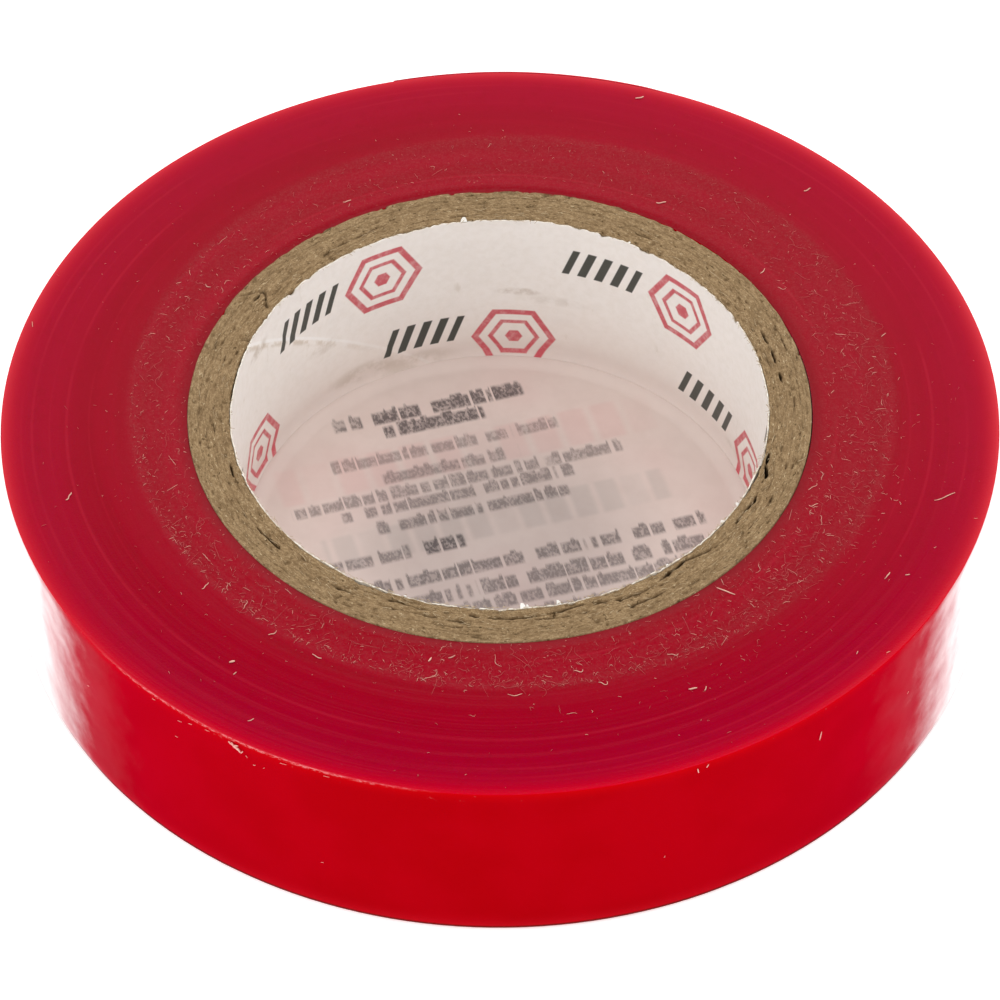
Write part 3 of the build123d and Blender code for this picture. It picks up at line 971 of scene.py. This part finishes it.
# ---------------------------------------------------------------------- label
def build_label():
    n = 360
    phi = np.arange(n) / n * TAU
    radii = np.concatenate([np.linspace(0.8, 18.0, 44), np.linspace(18.2, 19.7, 9), [20.2, 22, 24, 26, 27.0, LABEL_R - 0.05, LABEL_R]])
    top, bottom = [], []
    for r in radii:
        x, y = r * np.cos(phi), r * np.sin(phi)
        inside = smooth(19.9, 17.5, r)
        w = 0.10 * lattice(x * 0.11 + 9, y * 0.11 + 9, 121) + 0.035 * lattice(x * 0.4 + 30, y * 0.4 + 30, 122)
        dome = inside * (0.10 + w)
        sweep = 0.40 * smooth(18.3, 19.7, r) * (1 if r < 20 else 0)
        edge = 0.01 if r > LABEL_R - 0.02 else 0.0
        top.append(np.full(n, LABEL_T) + dome + sweep - edge)
        bottom.append(np.maximum(dome, 0.0) + edge)
    verts, faces, fm = [], [], []
    verts.append(np.array([[0, 0, top[0].mean()]]))
    verts.append(np.array([[0, 0, bottom[0].mean()]]))
    for arr in (top, bottom):
        for r, z in zip(radii, arr):
            verts.append(np.stack([r * np.cos(phi), r * np.sin(phi), z], -1))
    v = np.concatenate(verts)
    rows = len(radii)
    T = lambda a, b: 2 + a * n + (b % n)
    B = lambda a, b: 2 + rows * n + a * n + (b % n)
    for b in range(n):
        faces.append([0, T(0, b), T(0, b + 1)]); fm.append(0)
        faces.append([1, B(0, b + 1), B(0, b)]); fm.append(1)
        for a in range(rows - 1):
            faces.append([T(a, b), T(a + 1, b), T(a + 1, b + 1), T(a, b + 1)]); fm.append(0)
            faces.append([B(a, b + 1), B(a + 1, b + 1), B(a + 1, b), B(a, b)]); fm.append(1)
        faces.append([T(rows - 1, b), B(rows - 1, b), B(rows - 1, b + 1), T(rows - 1, b + 1)]); fm.append(1)
    ob = mesh_object("round_label", v, faces, [LABEL_IN, LABEL_OUT], fm, sharp=50.0)
    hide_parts("label_disc")
    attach(ob, "roll")


build_label()
glue = frame["nodes"]["label_adhesive"]
for s in glue.material_slots:
    s.material = GLUE


# ---------------------------------------------------------- lint, tufts, specks
def fibre(verts, faces, path, radius, sides=4):
    """Thin tapered tube along a path of points, closed at both ends."""
    path = np.asarray(path, float)
    t = np.gradient(path, axis=0)
    t /= np.linalg.norm(t, axis=1)[:, None] + 1e-12
    up = np.array([0, 0, 1.0])
    b = np.cross(t, up)
    b /= np.linalg.norm(b, axis=1)[:, None] + 1e-12
    c = np.cross(b, t)
    start = sum(len(v) for v in verts)
    m = len(path)
    k = np.arange(m) / (m - 1)
    taper = 0.45 + 0.55 * np.sin(np.pi * np.clip(k * 0.94 + 0.03, 0, 1)) ** 0.5
    pts = []
    for q in range(sides):
        a = TAU * (q + 0.5) / sides
        pts.append(path + (b * math.cos(a) + c * math.sin(a)) * (radius * taper)[:, None])
    pts = np.stack(pts, 1).reshape(-1, 3)
    verts.append(pts)
    for j in range(m - 1):
        for q in range(sides):
            q2 = (q + 1) % sides
            faces.append([start + j * sides + q, start + j * sides + q2,
                          start + (j + 1) * sides + q2, start + (j + 1) * sides + q])
    faces.append([start + q for q in range(sides)][::-1])
    faces.append([start + (m - 1) * sides + q for q in range(sides)])


def curl_path(rng, x, y, z, length, ang, bend, points, rise=0.0):
    s = np.linspace(-0.5, 0.5, points)
    a = ang + bend * s + 0.35 * bend * np.sin(s * 7 + rng.random() * 6)
    step = length / (points - 1)
    px = np.concatenate([[0], np.cumsum(np.cos(a[:-1]) * step)])
    py = np.concatenate([[0], np.cumsum(np.sin(a[:-1]) * step)])
    px, py = px - px.mean(), py - py.mean()
    pz = z + rise * (0.5 + 0.5 * np.cos(s * TAU)) * rng.random()
    return np.stack([x + px, y + py, np.broadcast_to(pz, px.shape)], -1)


def face_z(x, y):
    return Z1 + 0.012


def build_lint():
    rng = np.random.default_rng(5)
    bright, faint = ([], []), ([], [])

    def put(r, deg, length, radius, bend=None, ang=None, rise=0.05, cx=0.0, cy=0.0, to=None, flat=1.0):
        phi = math.radians(deg)
        x, y = cx + r * math.cos(phi), cy + r * math.sin(phi)
        if not CORE_R + 0.35 < math.hypot(x, y) < 36.8:
            return
        away = abs((math.degrees(math.atan2(y, x)) - 90 + 180) % 360 - 180)
        if to is None:
            # less of it at the back
            if rng.random() > 0.30 + 0.70 * min(1.0, max(0.0, (away - 25) / 70)):
                return
            to = bright if rng.random() < 0.22 else faint
        ang = rng.random() * TAU if ang is None else math.radians(ang)
        bend = rng.normal(0, 1.4) if bend is None else bend
        points = 3 if length < 0.30 else (5 if length < 0.8 else 9)
        path = curl_path(rng, x, y, Z1 + 0.012 + radius * 0.7, length, ang, bend, points, rise)
        fibre(to[0], to[1], path, radius, 4)

    # All over the inner zone.
    for _ in range(1500):
        r = math.sqrt(rng.uniform(23.3 ** 2, 28.2 ** 2))
        put(r, rng.uniform(-180, 180), min(1.7, rng.lognormal(-1.15, 0.6)), rng.uniform(0.007, 0.017), cx=0.9, cy=1.0)
    # Swept up along the edge of the next roll's label.
    for _ in range(420):
        put(28.35 - abs(rng.normal(0, 0.55)), rng.normal(-110, 50), min(1.1, rng.lognormal(-1.35, 0.5)),
            rng.uniform(0.007, 0.018), cx=0.9, cy=1.0)
    # More to the right and front right.
    for _ in range(260):
        put(rng.uniform(25.0, 31.0), rng.normal(-25, 28), min(1.1, rng.lognormal(-1.3, 0.5)), rng.uniform(0.008, 0.018))
    # Long, thin, pale-pink threads tangled in it.
    for _ in range(150):
        put(rng.uniform(25.2, 28.6), rng.normal(-60, 60), rng.uniform(0.9, 2.2), rng.uniform(0.006, 0.011),
            bend=rng.normal(0, 2.4), cx=0.9, cy=1.0, to=faint)
    # Fine dust, mostly too short to see as a fibre.
    for _ in range(1500):
        pick, deg = rng.random(), rng.uniform(-180, 180)
        if pick < 0.72:
            r = math.sqrt(rng.uniform(23.2 ** 2, 28.3 ** 2))
        elif pick < 0.86:
            r, deg = 28.0 + rng.normal(0, 0.35), rng.normal(-95, 70)
        else:
            r = 29.0 + rng.exponential(2.2)
        put(r, deg, rng.uniform(0.06, 0.24), rng.uniform(0.006, 0.016), rise=0.02, cx=0.9, cy=1.0)
    # Sparse over the rest.
    for _ in range(110):
        r = math.sqrt(rng.uniform(28.5 ** 2, 36.5 ** 2))
        put(r, rng.uniform(-180, 180), min(0.7, rng.lognormal(-1.8, 0.5)), rng.uniform(0.009, 0.020))
    # Single ones that stand out.
    for r, deg, length, radius, ang, bend in (
            (33.68, -16.2, 1.75, 0.038, 28.0, 0.35), (24.45, -48.9, 1.45, 0.045, -27.0, 0.2),
            (35.6, 71.6, 0.70, 0.055, 20.0, 0.6), (33.3, 43.9, 0.65, 0.045, 40.0, 0.8),
            (25.1, 59.9, 0.80, 0.050, 10.0, 0.8), (32.6, -164.1, 0.85, 0.050, 70.0, 1.6),
            (31.2, -127.3, 0.40, 0.075, 20.0, 0.3), (31.9, -125.8, 0.30, 0.040, 50.0, 0.5),
            (32.5, -31.6, 0.75, 0.045, 60.0, 0.6), (33.7, -30.2, 0.35, 0.040, 10.0, 0.5),
            (30.6, -64.0, 0.62, 0.060, 15.0, 0.4), (31.0, -62.5, 0.40, 0.050, 75.0, 0.4),
            (27.2, -63.5, 0.90, 0.028, 10.0, 2.0), (27.9, -75.0, 1.0, 0.028, 20.0, 2.2),
            (26.4, -78.0, 0.85, 0.028, 15.0, 1.8), (28.0, -88.0, 1.1, 0.026, 5.0, 0.8),
            (36.3, 166.0, 0.55, 0.035, 100.0, 0.4), (34.8, -120.0, 0.50, 0.030, 30.0, 0.5),
            (25.2, -101.4, 0.40, 0.060, 60.0, 0.3), (24.7, -98.0, 0.55, 0.045, 30.0, 0.4),
            (29.8, 14.0, 0.50, 0.032, 50.0, 0.5), (25.0, 118.0, 0.70, 0.030, 30.0, 1.2),
            (25.6, 150.0, 0.60, 0.032, -30.0, 1.2), (24.6, 35.0, 0.65, 0.034, 60.0, 0.6),
            (27.6, -118.0, 0.80, 0.040, -30.0, 0.6), (27.4, -126.0, 0.75, 0.035, 40.0, 1.0),
            (26.6, -133.0, 0.90, 0.032, 80.0, 1.2), (27.5, -140.0, 0.80, 0.034, 60.0, 1.4),
            (24.3, -20.0, 1.0, 0.026, 50.0, 1.6), (24.6, -17.0, 0.9, 0.026, 95.0, 1.2),
            (24.9, -24.0, 0.8, 0.026, 20.0, 1.6), (34.9, -44.0, 0.3, 0.03, 70.0, 0.4)):
        put(r, deg, length, radius, bend=bend, ang=ang, rise=0.03, to=bright)
    for name, (verts, faces), mat in (("paper_lint", bright, LINT), ("paper_dust", faint, DUST)):
        ob = mesh_object(name, np.concatenate(verts), faces, [mat], sharp=None)
        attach(ob, "roll")
    # A few on the outer film, and a scuff with torn threads at its top edge.
    verts, faces = [], []
    on_film = [(-52.8, 12.3, 0.80, 0.042, 80), (-120.40, 14.78, 0.45, 0.065, 150), (-120.10, 14.70, 0.50, 0.075, 120),
               (-119.75, 14.58, 0.50, 0.080, 135), (-119.40, 14.42, 0.45, 0.075, 125),
               (-119.05, 14.34, 0.30, 0.055, 60), (-119.70, 14.80, 0.30, 0.045, 20), (-118.5, 14.05, 0.22, 0.025, 130),
               (-117.6, 13.45, 0.22, 0.020, 20), (-116.4, 13.55, 0.16, 0.018, 40),
               (-125.8, 14.6, 0.35, 0.018, 15), (-127.3, 14.2, 0.40, 0.016, 10), (-131.0, 14.8, 0.30, 0.016, 10),
               (-123.5, 14.9, 0.40, 0.015, 5), (-114.0, 14.8, 0.50, 0.016, 5), (-109.0, 14.85, 0.45, 0.014, 4),
               (-143.0, 9.6, 0.25, 0.02, 20), (-128.0, 12.2, 0.25, 0.02, 10), (-38.0, 9.0, 0.22, 0.018, 50),
               (-72.0, 6.0, 0.2, 0.015, 70), (-110.0, 5.0, 0.22, 0.015, 10), (20.0, 8.0, 0.4, 0.02, 60),
               (-68.5, 14.6, 0.45, 0.045, 100), (-67.4, 14.8, 0.3, 0.035, 60),
               (170.0, 6.0, 0.4, 0.02, 20), (120.0, 10.0, 0.5, 0.025, 45)]
    for deg, z, length, radius, tilt in on_film:
        phi = math.radians(deg)
        s = np.linspace(-0.5, 0.5, 5) * length
        along, up = s * math.cos(math.radians(tilt)), s * math.sin(math.radians(tilt)) + 0.1 * s * s / length
        a = phi + along / 37.0
        rr = 37.0 + radius * 0.6
        path = np.stack([rr * np.cos(a), rr * np.sin(a), z + up], -1)
        fibre(verts, faces, path, radius, 5)
    ob = mesh_object("film_lint", np.concatenate(verts), faces, [FLAKE], sharp=None)
    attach(ob, "roll")


build_lint()


def build_tufts():
    """Torn scraps of the white liner and pale board fibres at the bore's edge."""
    rng = np.random.default_rng(9)
    verts, faces = [], []
    for deg, size, lean, z in ((97.7, 0.50, 0.30, 0.02), (-85.5, 0.42, -0.40, 0.02), (-84.4, 0.24, -0.30, 0.02),
                               (-78.0, 0.34, -0.35, 0.0),
                               (-36.0, 0.35, -0.2, 0.0), (-30.0, 0.30, -0.2, 0.0), (158.0, 0.45, -0.15, 0.0),
                               (-53.0, 0.25, -0.15, 0.0), (-160.0, 0.25, 0.1, 0.0), (60.0, 0.25, 0.1, 0.0),
                               (-110.0, 0.22, -0.1, 0.0)):
        phi = math.radians(deg)
        base = np.array([BORE_R + 0.04, 0.0, Z1 - 0.05 + z])
        start = sum(len(v) for v in verts)
        w = size * 0.5
        pts = []
        for q, (t, h, d) in enumerate(((-0.5, 0, 0), (0.5, 0, 0), (0.42, 0.55, 0.3), (0.10, 1.0, 0.7),
                                       (-0.25, 0.7, 0.9), (-0.48, 0.4, 0.4))):
            pts.append([base[0] + d * lean + rng.normal(0, 0.01), t * size + rng.normal(0, 0.02),
                        base[2] + h * w])
        pts = np.array(pts)
        both = np.concatenate([pts, pts + np.array([0.05, 0, 0.01])])
        c, s = math.cos(phi), math.sin(phi)
        rot = np.stack([both[:, 0] * c - both[:, 1] * s, both[:, 0] * s + both[:, 1] * c, both[:, 2]], -1)
        verts.append(rot)
        k = len(pts)
        faces.append([start + q for q in range(k)])
        faces.append([start + k + q for q in range(k)][::-1])
        for q in range(k):
            q2 = (q + 1) % k
            faces.append([start + q2, start + q, start + k + q, start + k + q2])
    ob = mesh_object("liner_scraps", np.concatenate(verts), faces, [TUFT], sharp=30)
    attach(ob, "roll")

    # Board fibres: short, pale or dark, lying mostly round the ring.
    verts, faces = [], []
    for _ in range(520):
        r = rng.uniform(BORE_R + 0.15, CORE_R - 0.05)
        if rng.random() < 0.45:
            r = rng.uniform(BORE_R + 0.05, BORE_R + 1.3)
        phi = rng.uniform(-math.pi, math.pi)
        if rng.random() < 0.5:
            phi = math.radians(rng.normal(-65, 55))
        length = min(1.3, rng.lognormal(-1.0, 0.5))
        ang = phi + math.pi / 2 + rng.normal(0, 0.28)
        x, y = r * math.cos(phi), r * math.sin(phi)
        rad = rng.uniform(0.008, 0.022)
        path = curl_path(rng, x, y, Z1 + 0.02, length, ang, rng.normal(0, 0.5), 5, 0.09)
        fibre(verts, faces, path, rad, 4)
    # and a fringe that hangs over the bore's edge
    for _ in range(420):
        phi = math.radians(rng.uniform(-180, 180) if rng.random() < 0.5 else rng.normal(-60, 55))
        r = BORE_R + rng.uniform(-0.10, 0.12)
        x, y = r * math.cos(phi), r * math.sin(phi)
        ang = phi + math.pi / 2 + rng.normal(0, 0.7)
        path = curl_path(rng, x, y, Z1 + rng.uniform(-0.02, 0.06), rng.uniform(0.15, 0.55), ang,
                         rng.normal(0, 1.0), 5, 0.05)
        fibre(verts, faces, path, rng.uniform(0.008, 0.018), 4)
    ob = mesh_object("board_fibres", np.concatenate(verts), faces, [BOARD_FIBRE], sharp=None)
    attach(ob, "roll")


BOARD_FIBRE = plain_paper_material("board_fibre", (0.52, 0.40, 0.25), (0.24, 0.16, 0.08), scale=0.9)
build_tufts()


# ---------------------------------------------------------------------- stage
def floor_material():
    a = Mat("pale_floor", Roughness=0.55, Specular_IOR_Level=0.2)
    grain = a.noise(a.pos, 0.05, 3.0, 0.5)
    a.colour(a.mix(grain, (0.80, 0.80, 0.80), (0.82, 0.82, 0.82)))
    a.p.inputs["Emission Color"].default_value = (1, 1, 1, 1)
    a.p.inputs["Emission Strength"].default_value = 0.38
    return a.m


me = bpy.data.meshes.new("floor")
S = 3.0
me.from_pydata([(-S, -S, -0.00002), (S, -S, -0.00002), (S, S, -0.00002), (-S, S, -0.00002)], [], [(0, 1, 2, 3)])
me.materials.append(floor_material())
floor = bpy.data.objects.new("floor", me)
bpy.context.scene.collection.objects.link(floor)

world = bpy.data.worlds.new("studio")
bpy.context.scene.world = world
world.use_nodes = True
bg = world.node_tree.nodes["Background"]
bg.inputs[0].default_value = (1.0, 1.0, 1.0, 1.0)
bg.inputs[1].default_value = 1.0


def area(name, loc, target, size, power, colour=(1, 1, 1)):
    d = bpy.data.lights.new(name, "AREA")
    d.shape = "RECTANGLE"
    d.size, d.size_y = size
    d.energy = power
    d.color = colour
    o = bpy.data.objects.new(name, d)
    bpy.context.scene.collection.objects.link(o)
    o.location = loc
    o.rotation_euler = (Vector(target) - Vector(loc)).to_track_quat("-Z", "Y").to_euler()
    return o


area("soft_back", (0.05, 0.42, 0.46), (0, 0, 0.01), (0.55, 0.30), 1.3)
area("soft_left", (-0.50, -0.05, 0.30), (0, 0, 0.01), (0.35, 0.45), 0.5)
area("soft_right", (0.52, 0.05, 0.30), (0, 0, 0.01), (0.35, 0.45), 0.5)
area("soft_front", (-0.05, -0.45, 0.55), (0, 0, 0.01), (0.40, 0.30), 0.5)

# --------------------------------------------------------------------- camera
DIST, ELEV, AIM_Z, ROLL = 0.339168, 0.836674, 0.004851, -0.2917
cam_data = bpy.data.cameras.new("camera")
cam_data.sensor_width = 36.0
cam_data.lens = 159.30
cam_data.clip_start = 0.01
cam = bpy.data.objects.new("camera", cam_data)
bpy.context.scene.collection.objects.link(cam)
loc = Vector((0.0, -DIST * math.cos(ELEV), DIST * math.sin(ELEV)))
cam.location = loc
look = (Vector((0, 0, AIM_Z)) - loc).to_track_quat("-Z", "Y").to_matrix()
cam.rotation_euler = (look @ Matrix.Rotation(math.radians(ROLL), 3, "Z")).to_euler()
bpy.context.scene.camera = cam

sc = bpy.context.scene
sc.view_settings.view_transform = "Standard"
sc.view_settings.look = "None"
sc.view_settings.exposure = 0.0
sc.view_settings.gamma = 1.0
